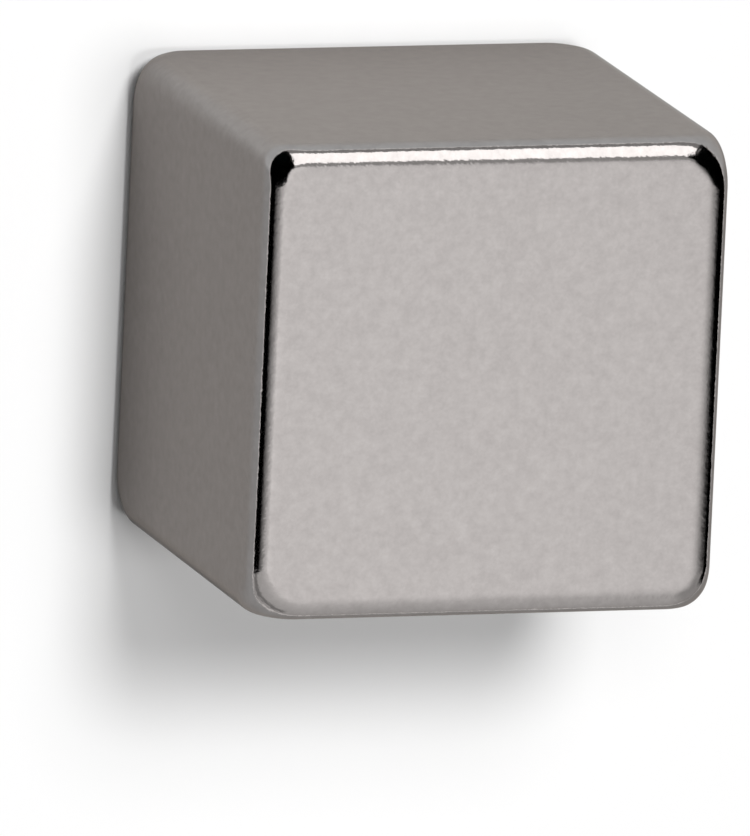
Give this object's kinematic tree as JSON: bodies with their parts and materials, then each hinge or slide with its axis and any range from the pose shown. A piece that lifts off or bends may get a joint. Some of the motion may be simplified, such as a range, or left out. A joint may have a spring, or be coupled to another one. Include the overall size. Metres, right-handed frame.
{
  "type": "block magnet",
  "caption": "Nickel-plated square block magnet with rounded edges and flat pole faces, for holding, latching or sensing.",
  "frame": {"origin": "centre of the lower pole face, which the block stands on", "axes": "+Z along the magnetic axis from the lower pole face to the upper one, +X and +Y square to two neighbouring side faces"},
  "size_m": [0.01, 0.01, 0.01],
  "materials": {
    "nickel_plate": "satin bright nickel plating over a ground and tumbled block, flat faces finely grained, rolled edges glossier"
  },
  "bodies": {
    "root": {"magnet_block": "nickel_plate"}
  },
  "joints": []
}
